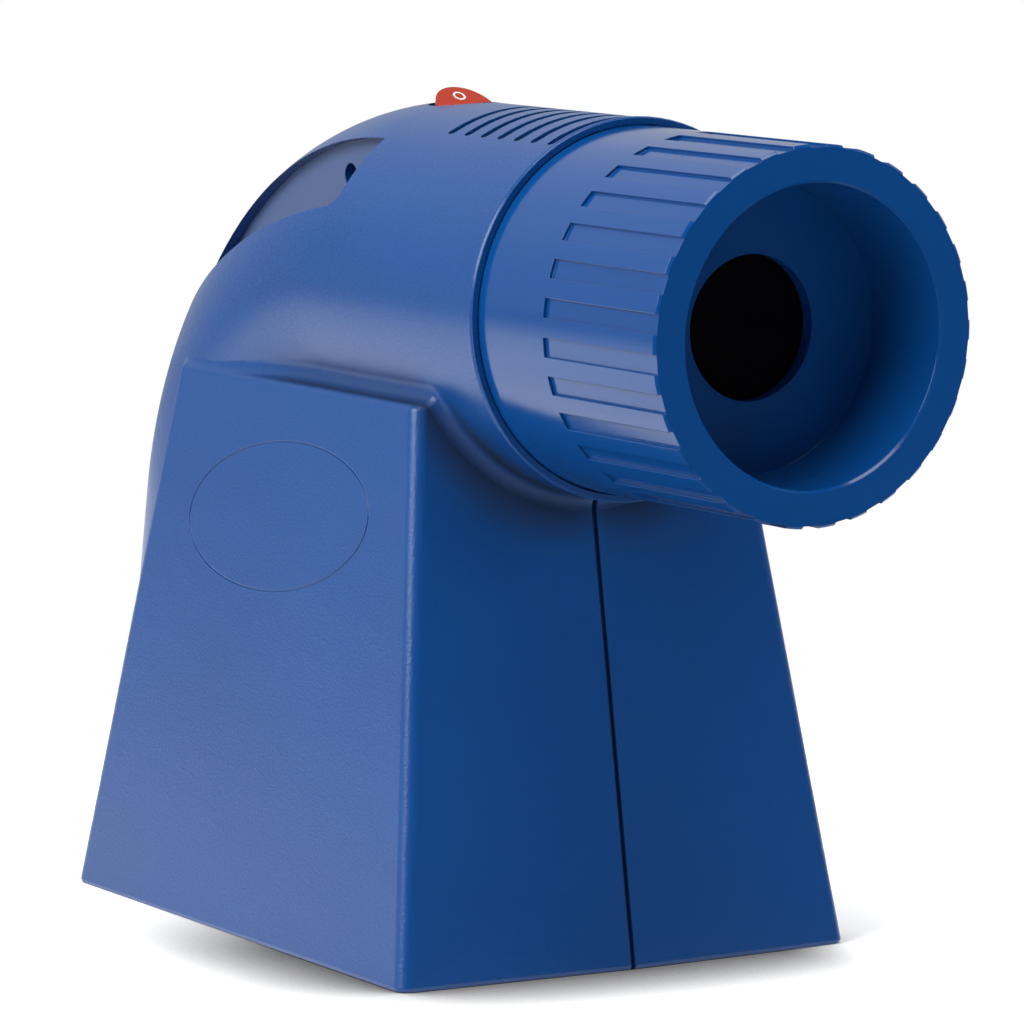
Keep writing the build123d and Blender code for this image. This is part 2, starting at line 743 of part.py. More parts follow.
inner_seat = tube_wall + bore_radius - sqrt(bore_radius**2 - grommet_flange**2) + turn_gap
with BuildPart() as cord_grommet:
    with BuildSketch(grommet_plane.offset(-inner_seat - grommet_flange_thickness)):
        Circle(grommet_radius)
    extrude(amount=inner_seat + 2 * grommet_flange_thickness)
    for level in (0, -inner_seat - grommet_flange_thickness):
        with BuildSketch(grommet_plane.offset(level)):
            Circle(grommet_flange)
        extrude(amount=grommet_flange_thickness)
    with BuildSketch(grommet_plane.offset(-2 * tube_wall)):
        Circle(grommet_bore)
    extrude(amount=5 * tube_wall, mode=Mode.SUBTRACT)

# ---------------------------------------------------------------- export
pieces = {
    "housing_left": housing_left,
    "housing_right": housing_right,
    "housing_screws": housing_screws,
    "focus_sleeve": focus_sleeve,
    "felt_band": felt_band,
    "lens": lens,
    "lens_ring": lens_ring,
    "rocker": rocker,
    "switch_body": switch_body,
    "switch_terminals": switch_terminals,
    "mirror": mirror_glass,
    "mirror_carrier": mirror_carrier,
    "mirror_clips": mirror_clips,
    "carrier_screws": carrier_screws,
    "lamp_bulb": lamp_bulb,
    "lamp_cap": lamp_cap,
    "lamp_socket": lamp_socket,
    "lamp_bracket": lamp_bracket,
    "bracket_screws": bracket_screws,
    "lamp_reflector": lamp_reflector,
    "light_baffle": light_baffle,
    "copy_plate": copy_plate_part,
    "cord_grommet": cord_grommet,
}
os.makedirs("parts", exist_ok=True)
for name, piece in pieces.items():
    piece.part.label = name
    export_step(piece.part, f"parts/{name}.step")
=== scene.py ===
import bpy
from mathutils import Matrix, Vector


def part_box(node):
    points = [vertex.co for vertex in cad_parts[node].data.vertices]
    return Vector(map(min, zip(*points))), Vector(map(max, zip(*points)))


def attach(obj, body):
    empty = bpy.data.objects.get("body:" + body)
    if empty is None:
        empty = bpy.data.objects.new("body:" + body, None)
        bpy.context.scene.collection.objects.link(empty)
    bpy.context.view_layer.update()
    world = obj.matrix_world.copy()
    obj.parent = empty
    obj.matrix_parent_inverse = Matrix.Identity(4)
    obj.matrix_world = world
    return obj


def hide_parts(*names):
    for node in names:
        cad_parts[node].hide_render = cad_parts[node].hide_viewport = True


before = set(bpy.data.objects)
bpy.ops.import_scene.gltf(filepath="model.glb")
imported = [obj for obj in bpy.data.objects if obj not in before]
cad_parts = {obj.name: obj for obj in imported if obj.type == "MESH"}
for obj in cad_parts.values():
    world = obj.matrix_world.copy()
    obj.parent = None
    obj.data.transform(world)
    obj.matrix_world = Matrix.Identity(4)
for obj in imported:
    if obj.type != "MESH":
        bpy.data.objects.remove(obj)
"""Finishes and fine parts of a table-top opaque projector.

The shell, the lens sleeve and the sheet-metal parts keep their own shapes and get finishes here.
Screws, lamp, lens, terminals, grommet and the marks on the rocker are modelled here in full.
"""
import logging
import math
from dataclasses import dataclass
from enum import Enum
from typing import Any, Callable, Sequence

import bpy
from mathutils import Matrix, Vector

log = logging.getLogger("projector")
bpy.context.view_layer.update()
MM = 0.001
AXIS_Z = 0.1855
FRONT_Y = -0.1643

Colour = tuple[float, float, float]
Seat = tuple[tuple[float, float, float], float]
Piece = bpy.types.Object
Material = bpy.types.Material

LEG_LEAN = math.radians(9.0)

CLAMPS: list[Seat] = [
    ((0.005, -0.065267, 0.0143), -1),
    ((0.005, -0.045207, 0.114336), -1),
    ((0.005, 0.145383, 0.0143), -1),
    ((-0.005, 0.032246, 0.2169), 1),
]
CARRIER_SEATS: list[Seat] = [
    ((side * 0.0435, y, z), side)
    for side in (-1, 1)
    for y, z in ((0.045612, 0.181611), (0.062583, 0.16464))
]
BRACKET_SEATS: list[Seat] = [((side * 0.0229, 0.097248, 0.164455), side) for side in (-1, 1)]


def shade(colour: Colour, share: float) -> Colour:
    """A colour with each part multiplied by the same share."""
    return tuple(share * part for part in colour)


def opaque(value: Any) -> Any:
    """A value, with a fourth part of 1 where it is a colour."""
    return (*value, 1.0) if isinstance(value, tuple) and len(value) == 3 else value


# --- shader maths
def _operator(operation: str, turned: bool = False) -> Callable[["Wire", Any], "Wire"]:
    """A Python operator that joins a wire and another value by a Math node.

    Args:
        operation: what the node does.
        turned: whether the other value comes first.

    Returns:
        The operator's method.
    """

    def join(wire: "Wire", other: Any) -> "Wire":
        pair = (other, wire) if turned else (wire, other)
        return wire.graph.put("Math", {"operation": operation}, dict(enumerate(pair)))

    return join


class Wire:
    """A shader socket that takes part in Python sums."""

    def __init__(self, graph: "Graph", socket: bpy.types.NodeSocket) -> None:
        """Wrap a socket.

        Args:
            graph: the graph that the socket belongs to.
            socket: the output socket.
        """
        self.graph = graph
        self.socket = socket

    __add__ = _operator("ADD")
    __radd__ = _operator("ADD", turned=True)
    __sub__ = _operator("SUBTRACT")
    __rsub__ = _operator("SUBTRACT", turned=True)
    __mul__ = _operator("MULTIPLY")
    __rmul__ = _operator("MULTIPLY", turned=True)
    __pow__ = _operator("POWER")

    def size(self) -> "Wire":
        """Value without its sign."""
        return self.graph.put("Math", {"operation": "ABSOLUTE"}, {0: self})

    def part(self, letter: str) -> "Wire":
        """X, Y or Z of a vector."""
        return self.graph.put("SeparateXYZ", {}, {0: self}, letter)

    def step(self, low: float, high: float) -> "Wire":
        """Smooth step from 0 at low to 1 at high."""
        sockets = {"Value": self, "From Min": low, "From Max": high}
        return self.graph.put("MapRange", {"interpolation_type": "SMOOTHSTEP"}, sockets)


class Graph:
    """Node tree of one material, with a method for each thing that the finishes need."""

    def __init__(self, name: str) -> None:
        """Start an empty material.

        Args:
            name: name of the material.
        """
        self.material = bpy.data.materials.new(name)
        self.material.use_nodes = True
        self.tree = self.material.node_tree
        self.tree.nodes.clear()
        self.place = self.put("TexCoord", {}, {}, "Object")

    @classmethod
    def over(cls, tree: bpy.types.NodeTree) -> "Graph":
        """Graph over a node tree that isn't a material's."""
        graph = cls.__new__(cls)
        graph.tree = tree
        tree.nodes.clear()
        return graph

    def put(
        self, kind: str, settings: dict[str, Any], sockets: dict[Any, Any], out: Any = 0
    ) -> Wire:
        """Add a node.

        Args:
            kind: Blender's node type, without ShaderNode in front.
            settings: attributes that are set before the sockets.
            sockets: values or wires by socket name or number.
            out: name or number of the output to return.

        Returns:
            The wire of that output.
        """
        node = self.tree.nodes.new(f"ShaderNode{kind}")
        for key, value in settings.items():
            setattr(node, key, value)
        for key, value in sockets.items():
            if isinstance(value, Wire):
                self.tree.links.new(value.socket, node.inputs[key])
            else:
                node.inputs[key].default_value = value
        return Wire(self, node.outputs[out])

    def noise(
        self, cells_per_m: float, detail: float = 2.0, rough: float = 0.5, place: Wire | None = None
    ) -> Wire:
        """Cloudy noise from 0 to 1.

        Args:
            cells_per_m: cells of the coarsest noise to the metre.
            detail: octaves of finer noise on top.
            rough: strength of the finer octaves.
            place: coordinates to use in place of the surface's own.

        Returns:
            The wire of the noise.
        """
        sockets = {"Vector": place or self.place, "Scale": cells_per_m, "Detail": detail}
        return self.put("TexNoise", {}, sockets | {"Roughness": rough}, "Fac")

    def cells(self, cells_per_m: float) -> Wire:
        """Distance to the nearest of a field of scattered points."""
        sockets = {"Vector": self.place, "Scale": cells_per_m}
        return self.put("TexVoronoi", {"feature": "F1"}, sockets, "Distance")

    def axis(self, letter: str) -> Wire:
        """One coordinate of the surface, in metres."""
        return self.place.part(letter)

    def ray(self, kind: str) -> Wire:
        """1 for rays of a kind, such as Is Camera Ray, and 0 for others."""
        return self.put("LightPath", {}, {}, kind)

    def glow(self, kind: str, strength: Any) -> Wire:
        """White light from a surface (Emission) or from the world (Background)."""
        sockets = {"Color": (1, 1, 1, 1), "Strength": strength}
        return self.put(kind, {}, sockets, kind)

    def open_sky(self, reach: float, samples: int, alone: bool = False) -> Wire:
        """1 where nothing stands near and 0 where all is covered.

        Args:
            reach: how far covers count, in metres.
            samples: samples for each ray.
            alone: whether only the piece's own surface counts.

        Returns:
            The wire of the open share.
        """
        settings = {"samples": samples, "only_local": alone}
        return self.put("AmbientOcclusion", settings, {"Distance": reach}, "AO")

    def stretched(self, x: float, y: float, z: float) -> Wire:
        """The surface's coordinates, scaled along each axis."""
        sockets = {"Vector": self.place, "Scale": (x, y, z)}
        return self.put("Mapping", {}, sockets, "Vector")

    def mix(self, share: Any, low: Any, high: Any) -> Wire:
        """Colour that goes from low to high as the share goes from 0 to 1."""
        sockets = {0: share, 6: opaque(low), 7: opaque(high)}
        return self.put("Mix", {"data_type": "RGBA"}, sockets, 2)

    def rounded(self, radius: float) -> Wire:
        """Surface direction with the edges rounded off."""
        return self.put("Bevel", {"samples": 6}, {"Radius": radius}, "Normal")

    def relief(
        self, height: Wire, depth: float, strength: float, under: Wire | None = None
    ) -> Wire:
        """Fine relief on the surface, as deep as depth in metres."""
        sockets: dict[Any, Any] = {"Height": height, "Distance": depth, "Strength": strength}
        if under is not None:
            sockets["Normal"] = under
        return self.put("Bump", {}, sockets, "Normal")

    def finish(self, **sockets: Any) -> Material:
        """Close the graph with a Principled shader.

        Args:
            sockets: values or wires by socket name, with underscores for blanks.

        Returns:
            The finished material.
        """
        named = {key.replace("_", " "): opaque(value) for key, value in sockets.items()}
        self.put_output(self.put("BsdfPrincipled", {}, named, "BSDF"))
        return self.material

    def put_output(self, shader: Wire, owner: str = "Material") -> None:
        """Link a shader to the surface of a material or of the world."""
        out = self.tree.nodes.new(f"ShaderNodeOutput{owner}")
        self.tree.links.new(shader.socket, out.inputs["Surface"])


# --- finishes
class Relief(Enum):
    """How a moulded surface was finished in its tool."""

    POLISHED = 0.25
    SATIN = 0.6
    GRAINED = 1.0


@dataclass(frozen=True)
class Finish:
    """A finish of one main colour."""

    name: str
    colour: Colour


@dataclass(frozen=True)
class Moulding(Finish):
    """Injection-moulded plastic.

    Attributes:
        roughness: mean roughness.
        relief: finish of the tool.
        grain_mm: size of the tool's grain.
        edge_mm: rounding of the sharp edges.
        grain_below: height under which the tool was grained, in metres, or none.
        pocket_x: how far out the floors of the grip pockets lie, which get a painted sheen, in
            metres, or none.
        crease_shade_below: height under which the creases get painted shade and are dull, in
            metres, or none.
        specular: strength of the plastic's sheen.
        grain_depth: depth of the grain, as a share of its size.
        dust_and_sheen: colour of the painted sheen on the pocket floors.
        pocket_low: height under which no pocket lies, in metres.
        crease_reach: how near two walls of a crease are, in metres.
        crease_inboard: half width inside which the creases lie, in metres.
    """

    roughness: float
    relief: Relief = Relief.SATIN
    grain_mm: float = 0.45
    edge_mm: float = 0.35
    grain_below: float | None = None
    pocket_x: float | None = None
    crease_shade_below: float | None = None
    specular: float = 0.38
    grain_depth: float = 0.13
    dust_and_sheen: Colour = (0.072, 0.105, 0.205)
    pocket_low: float = 0.158
    crease_reach: float = 0.024
    crease_inboard: float = 0.0545

    def make(self) -> Material:
        """Build the material."""
        graph = Graph(self.name)
        cloud = graph.noise(14.0, 3.0)
        flow = graph.noise(1.0, 2.0, place=graph.stretched(30.0, 12.0, 60.0))
        grain = graph.noise(1.0 / (self.grain_mm * MM), 1.5)
        pits = graph.cells(0.8 / (self.grain_mm * MM))
        dull, bright = shade(self.colour, 0.86), shade(self.colour, 1.12)
        tone = graph.mix(cloud * 0.7 + flow * 0.3, dull, bright)
        height = grain * 0.65 + pits * 0.35
        gloss = self.roughness + (cloud - 0.5) * 0.06 + (grain - 0.5) * 0.10
        if self.grain_below is not None:
            grained = 1 - graph.axis("Z").step(self.grain_below - 0.0015, self.grain_below + 0.0015)
            height = height * (grained * 0.75 + 0.25)
            gloss = gloss + grained * 0.05
        if self.pocket_x is not None:
            floor = self._pocket_floor(graph)
            # painted sheen: the pocket floors turn paler and greyer, standing in for the light they
            # catch
            tone = graph.mix(floor * (cloud * 0.4 + 0.6), tone, self.dust_and_sheen)
            gloss = gloss + floor * 0.15
        if self.crease_shade_below is not None:
            crease = self._crease_shade(graph)
            # painted shade: the plastic darkens towards black in its own inner corners low on the
            # shell
            tone = graph.mix(crease * 0.8, tone, (0.0, 0.0, 0.0))
            gloss = gloss + crease * 0.45
        depth = self.grain_depth * self.grain_mm * MM
        normal = graph.relief(height, depth, self.relief.value, graph.rounded(self.edge_mm * MM))
        return graph.finish(
            Base_Color=tone, Roughness=gloss, Normal=normal, Specular_IOR_Level=self.specular
        )

    def _crease_shade(self, graph: Graph) -> Wire:
        """Painted shade: 1 deep in the piece's own inner corners and 0 on its open faces."""
        sky = graph.open_sky(self.crease_reach, 8, alone=True)
        low = 1 - graph.axis("Z").step(self.crease_shade_below - 12 * MM, self.crease_shade_below)
        inboard = 1 - graph.axis("X").size().step(self.crease_inboard, self.crease_inboard + MM)
        return (1 - sky).step(0.05, 0.5) * low * inboard

    def _pocket_floor(self, graph: Graph) -> Wire:
        """1 on the flat floors of the grip pockets and 0 elsewhere."""
        out = graph.axis("X").size()
        square = graph.put("TexCoord", {}, {}, "Normal").part("X").size().step(0.9, 0.97)
        near = out.step(self.pocket_x - 0.6 * MM, self.pocket_x - 0.3 * MM)
        past = out.step(self.pocket_x + 0.3 * MM, self.pocket_x + 0.6 * MM)
        high = graph.axis("Z").step(self.pocket_low, self.pocket_low + 2 * MM)
        return square * near * (1 - past) * high


@dataclass(frozen=True)
class Metal(Finish):
    """Bare or plated metal with the marks of its making.

    Attributes:
        roughness: mean roughness.
        drawn: how much longer the rolling marks are than wide, along X, Y and Z.
        tarnish: share of dull spots.
        edge_mm: rounding of the sharp edges.
    """

    roughness: float
    drawn: tuple[float, float, float] = (1.0, 1.0, 1.0)
    tarnish: float = 0.3
    edge_mm: float = 0.15

    def make(self) -> Material:
        """Build the material."""
        graph = Graph(self.name)
        lines = graph.noise(1.0, 3.0, place=graph.stretched(*(900.0 / part for part in self.drawn)))
        blotch = graph.noise(220.0, 4.0, 0.6)
        spots = blotch.step(0.52, 0.72) * self.tarnish
        tone = graph.mix(spots + (lines - 0.5) * 0.12, self.colour, shade(self.colour, 0.55))
        gloss = self.roughness + spots * 0.25 + (lines - 0.5) * 0.12
        normal = graph.relief(lines, 0.02 * MM, 0.35, graph.rounded(self.edge_mm * MM))
        return graph.finish(Base_Color=tone, Metallic=1.0, Roughness=gloss, Normal=normal)


@dataclass(frozen=True)
class Paint(Finish):
    """Matt paint on sheet metal."""

    roughness: float = 0.75

    def make(self) -> Material:
        """Build the material."""
        graph = Graph(self.name)
        speckle = graph.noise(1500.0, 3.0)
        cloud = graph.noise(40.0, 3.0)
        tone = graph.mix(cloud, shade(self.colour, 0.7), shade(self.colour, 1.5))
        gloss = self.roughness + (speckle - 0.5) * 0.2
        normal = graph.relief(speckle, 0.04 * MM, 0.6, graph.rounded(0.2 * MM))
        return graph.finish(Base_Color=tone, Roughness=gloss, Normal=normal)


@dataclass(frozen=True)
class Felt(Finish):
    """Pressed felt."""

    def make(self) -> Material:
        """Build the material."""
        graph = Graph(self.name)
        fibre = graph.noise(1.0, 4.0, 0.7, place=graph.stretched(2600.0, 900.0, 2600.0))
        tuft = graph.noise(500.0, 3.0)
        tone = graph.mix(fibre, shade(self.colour, 0.5), shade(self.colour, 2.2))
        normal = graph.relief(fibre * 0.6 + tuft * 0.4, 0.2 * MM, 0.9)
        return graph.finish(Base_Color=tone, Roughness=0.95, Normal=normal, Sheen_Weight=0.4)


@dataclass(frozen=True)
class Porcelain(Finish):
    """Unglazed white lamp-holder ceramic."""

    def make(self) -> Material:
        """Build the material."""
        graph = Graph(self.name)
        cloud = graph.noise(90.0, 4.0)
        specks = graph.cells(420.0).step(0.0, 0.16)
        tone = graph.mix(cloud, shade(self.colour, 0.82), self.colour)
        tone = graph.mix(specks * 0.85 + 0.15, shade(self.colour, 0.6), tone)
        normal = graph.relief(graph.noise(1800.0, 2.0), 0.03 * MM, 0.6, graph.rounded(0.3 * MM))
        return graph.finish(Base_Color=tone, Roughness=0.55 + (cloud - 0.5) * 0.2, Normal=normal)


@dataclass(frozen=True)
class SilveredGlass:
    """Mirror glass: silver on its face, green at its edge and grey on its back.

    Attributes:
        name: name of the material.
        centre: where the glass meets the lens axis, as Y and Z in metres.
        thickness: thickness of the glass.
    """

    name: str
    centre: tuple[float, float]
    thickness: float

    def make(self) -> Material:
        """Build the material."""
        graph = Graph(self.name)
        behind, above = graph.axis("Y") - self.centre[0], graph.axis("Z") - self.centre[1]
        depth = (behind + above) * math.sqrt(0.5)
        edge = depth.step(0.00002, 0.00012)
        back = depth.step(self.thickness - 0.00012, self.thickness - 0.00002)
        film = graph.noise(60.0, 5.0, 0.6)
        dust_and_sheen = graph.noise(2400.0, 2.0).step(0.66, 0.76)
        silver = graph.mix(film, (0.90, 0.91, 0.92), (0.95, 0.95, 0.95))
        tone = graph.mix(edge, silver, (0.05, 0.16, 0.11))
        tone = graph.mix(back, tone, (0.22, 0.22, 0.23))
        gloss = 0.015 + film * 0.02 + dust_and_sheen * 0.1 * (1 - edge) + edge * 0.12 + back * 0.4
        return graph.finish(Base_Color=tone, Metallic=1 - edge, Roughness=gloss)


@dataclass(frozen=True)
class LensGlass:
    """Coated lens glass, drawn opaque and near black: painted shade for the dark inside of the tube
    behind it.
    """

    name: str

    def make(self) -> Material:
        """Build the material."""
        graph = Graph(self.name)
        film = graph.noise(45.0, 3.0)
        # painted shade: the near-black colour stands for the unlit tube seen through the glass
        tone = graph.mix(film, (0.0012, 0.0012, 0.0025), (0.003, 0.003, 0.004))
        specks = graph.noise(1900.0, 2.0).step(0.72, 0.8)
        return graph.finish(
            Base_Color=tone, Roughness=0.02 + specks * 0.2 + film * 0.01,
            Specular_IOR_Level=0.025, IOR=1.5,
        )


@dataclass(frozen=True)
class FrostedGlass:
    """Frosted lamp glass, clearer towards its neck."""

    name: str
    neck_z: float

    def make(self) -> Material:
        """Build the material."""
        graph = Graph(self.name)
        frost = graph.noise(2200.0, 2.0)
        cloud = graph.noise(30.0, 3.0)
        tone = graph.mix(cloud, (0.78, 0.78, 0.75), (0.88, 0.88, 0.86))
        neck = graph.axis("Z").step(self.neck_z - 0.012, self.neck_z)
        tone = graph.mix(neck * 0.6, tone, (0.45, 0.45, 0.44))
        normal = graph.relief(frost, 0.02 * MM, 0.5)
        return graph.finish(
            Base_Color=tone, Roughness=0.32 + (frost - 0.5) * 0.2, Normal=normal,
            Subsurface_Weight=0.25, Subsurface_Radius=Vector((0.004, 0.004, 0.004)),
            Subsurface_Scale=1.0,
        )


@dataclass(frozen=True)
class Rubber(Finish):
    """Moulded rubber with a dull bloom."""

    def make(self) -> Material:
        """Build the material."""
        graph = Graph(self.name)
        bloom = graph.noise(160.0, 4.0, 0.6)
        pale = tuple(3.0 * part + 0.01 for part in self.colour)
        tone = graph.mix(bloom.step(0.4, 0.8), self.colour, pale)
        normal = graph.relief(graph.noise(1200.0, 3.0), 0.03 * MM, 0.5, graph.rounded(0.3 * MM))
        return graph.finish(Base_Color=tone, Roughness=0.6 + bloom * 0.2, Normal=normal)


@dataclass(frozen=True)
class PrintedInk(Finish):
    """Ink printed on plastic."""

    def make(self) -> Material:
        """Build the material."""
        graph = Graph(self.name)
        thin = graph.noise(3000.0, 3.0)
        tone = graph.mix(thin, shade(self.colour, 0.85), self.colour)
        return graph.finish(Base_Color=tone, Roughness=0.35 + thin * 0.15)


class Finishes:
    """Every finish of the projector, each made once."""

    def __init__(self) -> None:
        """Make the finishes."""
        blue = (0.0022, 0.048, 0.195)
        self.shell = Moulding(
            "blue_shell", blue, 0.28, Relief.GRAINED, 0.62,
            grain_below=0.1585, pocket_x=0.027, crease_shade_below=0.178,
        ).make()
        self.sleeve = Moulding("blue_sleeve", blue, 0.15, Relief.POLISHED, 0.6, 0.3).make()
        red, black, dark = (0.34, 0.028, 0.012), (0.012, 0.012, 0.013), (0.010, 0.010, 0.011)
        self.red = Moulding("red_rocker", red, 0.22, Relief.POLISHED, 0.6, 0.4).make()
        self.black = Moulding("black_plastic", black, 0.45, Relief.SATIN).make()
        self.plate = Moulding("black_plate", dark, 0.55, Relief.GRAINED, 0.6).make()
        self.zinc = Metal("zinc_screw", (0.62, 0.62, 0.60), 0.34, tarnish=0.4).make()
        self.sheet = Metal("zinc_sheet", (0.60, 0.61, 0.62), 0.38, (1.0, 8.0, 8.0)).make()
        self.spring = Metal("spring_steel", (0.42, 0.42, 0.44), 0.30, (6.0, 1.0, 1.0), 0.2).make()
        silver = (0.86, 0.87, 0.88)
        self.aluminium = Metal("bright_aluminium", silver, 0.16, (10.0, 1.0, 1.0), 0.15).make()
        self.brass = Metal("brass", (0.72, 0.50, 0.20), 0.26, tarnish=0.35).make()
        self.baffle = Paint("baffle_black", (0.012, 0.012, 0.012)).make()
        self.felt = Felt("black_felt", (0.012, 0.012, 0.014)).make()
        self.porcelain = Porcelain("white_porcelain", (0.72, 0.70, 0.66)).make()
        self.mirror = SilveredGlass("mirror_glass", (0.0240456, AXIS_Z), 0.003).make()
        self.lens = LensGlass("lens_glass").make()
        self.bulb = FrostedGlass("frosted_glass", 0.128).make()
        self.rubber = Rubber("black_rubber", (0.012, 0.012, 0.012)).make()
        self.ink = PrintedInk("white_ink", (0.80, 0.79, 0.76)).make()


# --- bench: operators as by hand
class Bench:
    """Modelling operators, used as by hand on one object at a time."""

    @staticmethod
    def clear() -> None:
        """Deselect everything."""
        bpy.ops.object.select_all(action="DESELECT")

    @staticmethod
    def take(piece: Piece) -> None:
        """Select one object and make it active."""
        Bench.clear()
        piece.select_set(True)
        bpy.context.view_layer.objects.active = piece

    @staticmethod
    def settle(piece: Piece) -> Piece:
        """Move a piece's place into its mesh and leave its object at the origin."""
        Bench.take(piece)
        bpy.ops.object.transform_apply(location=True, rotation=True, scale=True)
        return piece

    @staticmethod
    def turned(
        name: str, profile: Sequence[tuple[float, float]], sides: int = 48, smooth: float = 35.0
    ) -> Piece:
        """Turn a profile about Z, ring by ring.

        Args:
            name: name of the piece.
            profile: (radius, height) of each ring in metres; a radius of 0 closes an end.
            sides: faces round the piece.
            smooth: angle in degrees under which faces are smoothed together.

        Returns:
            The turned piece, standing on the origin along Z.
        """
        Bench.clear()
        mesh = bpy.ops.mesh
        rings = [ring for ring in profile if ring[0] > 0]
        radius, height = rings[0]
        mesh.primitive_circle_add(vertices=sides, radius=radius, location=(0, 0, height))
        piece = bpy.context.active_object
        piece.name = name
        Bench.settle(piece)
        bpy.ops.object.mode_set(mode="EDIT")
        mesh.select_all(action="SELECT")
        if profile[0][0] == 0:
            mesh.duplicate()
            mesh.edge_face_add()
            mesh.select_all(action="SELECT")
            mesh.remove_doubles(threshold=1e-7)
            mesh.select_mode(type="FACE")
            mesh.select_all(action="SELECT")
            mesh.poke()
            mesh.select_mode(type="VERT")
            mesh.select_all(action="DESELECT")
            mesh.select_non_manifold(extend=False)
        for (old_r, old_z), (new_r, new_z) in zip(rings, rings[1:]):
            mesh.extrude_edges_move(TRANSFORM_OT_translate={"value": (0, 0, new_z - old_z)})
            scale = new_r / old_r
            bpy.ops.transform.resize(value=(scale, scale, 1.0), center_override=(0, 0, new_z))
        if profile[-1][0] == 0:
            mesh.edge_face_add()
            mesh.select_mode(type="FACE")
            mesh.poke()
            mesh.select_mode(type="VERT")
        elif profile[0][0] > 0:
            mesh.select_all(action="DESELECT")
            mesh.select_non_manifold(extend=False)
            mesh.bridge_edge_loops()
        mesh.select_all(action="SELECT")
        mesh.remove_doubles(threshold=1e-7)
        mesh.normals_make_consistent(inside=False)
        bpy.ops.object.mode_set(mode="OBJECT")
        Bench.take(piece)
        bpy.ops.object.shade_smooth_by_angle(angle=math.radians(smooth))
        return piece

    @staticmethod
    def block(
        name: str, size: tuple[float, float, float], middle: tuple[float, float, float]
    ) -> Piece:
        """A block for a blade, a slot or a bar.

        Args:
            name: name of the piece.
            size: lengths along X, Y and Z in metres.
            middle: its centre.

        Returns:
            The block.
        """
        Bench.clear()
        bpy.ops.mesh.primitive_cube_add(size=1.0, location=middle)
        piece = bpy.context.active_object
        piece.name = name
        piece.scale = size
        return Bench.settle(piece)

    @staticmethod
    def cut(piece: Piece, tool: Piece) -> None:
        """Cut a tool's shape out of a piece and remove the tool."""
        Bench.take(piece)
        modifier = piece.modifiers.new("cut", "BOOLEAN")
        modifier.operation = "DIFFERENCE"
        modifier.solver = "EXACT"
        modifier.object = tool
        bpy.ops.object.modifier_apply(modifier=modifier.name)
        bpy.data.objects.remove(tool)

    @staticmethod
    def soften(piece: Piece, width: float) -> None:
        """Bevel the sharp edges of a piece and smooth it."""
        Bench.take(piece)
        modifier = piece.modifiers.new("soften", "BEVEL")
        modifier.width = width
        modifier.segments = 2
        modifier.limit_method = "ANGLE"
        modifier.angle_limit = math.radians(40)
        bpy.ops.object.modifier_apply(modifier=modifier.name)
        bpy.ops.object.shade_smooth_by_angle(angle=math.radians(30))

    @staticmethod
    def join(name: str, parts: Sequence[Piece]) -> Piece:
        """Join parts into one piece."""
        Bench.clear()
        for part in parts:
            part.select_set(True)
        bpy.context.view_layer.objects.active = parts[0]
        bpy.ops.object.join()
        parts[0].name = name
        return parts[0]

    @staticmethod
    def set_down(piece: Piece, place: Matrix) -> Piece:
        """Move a finished piece to its place."""
        piece.matrix_world = place
        return Bench.settle(piece)

    @staticmethod
    def copy(piece: Piece, name: str) -> Piece:
        """Copy a piece with a mesh of its own."""
        twin = piece.copy()
        twin.data = piece.data.copy()
        twin.name = name
        bpy.context.scene.collection.objects.link(twin)
        return twin


def repeat(model: Piece, name: str, places: Sequence[Matrix]) -> Piece:
    """Set a copy of a model down at each place, as one piece, and remove the model."""
    made = [
        Bench.set_down(Bench.copy(model, f"{name}_{number}"), place)
        for number, place in enumerate(places)
    ]
    bpy.data.objects.remove(model)
    return Bench.join(name, made)


def along(direction: Vector, place: Vector) -> Matrix:
    """Placing that turns Z to a direction and moves the origin to a place."""
    return Matrix.Translation(place) @ direction.to_track_quat("Z", "Y").to_matrix().to_4x4()


def give(piece: Piece, finish: Material) -> None:
    """Put one finish on a whole piece."""
    piece.data.materials.clear()
    piece.data.materials.append(finish)


# --- sub-assemblies
KEPT = {
    "housing_left": "shell",
    "housing_right": "shell",
    "focus_sleeve": "sleeve",
    "lens_ring": "black",
    "felt_band": "felt",
    "rocker": "red",
    "switch_body": "black",
    "mirror": "mirror",
    "mirror_carrier": "sheet",
    "mirror_clips": "spring",
    "lamp_bracket": "sheet",
    "lamp_reflector": "aluminium",
    "light_baffle": "baffle",
    "copy_plate": "plate",
}


def dress(finishes: Finishes) -> None:
    """Give their finishes to the nodes that keep their own shapes."""
    for node, finish in KEPT.items():
        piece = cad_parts[node]
        for index in range(len(piece.material_slots)):
            piece.material_slots[index].material = getattr(finishes, finish)
        log.info("%s: %s", node, finish)


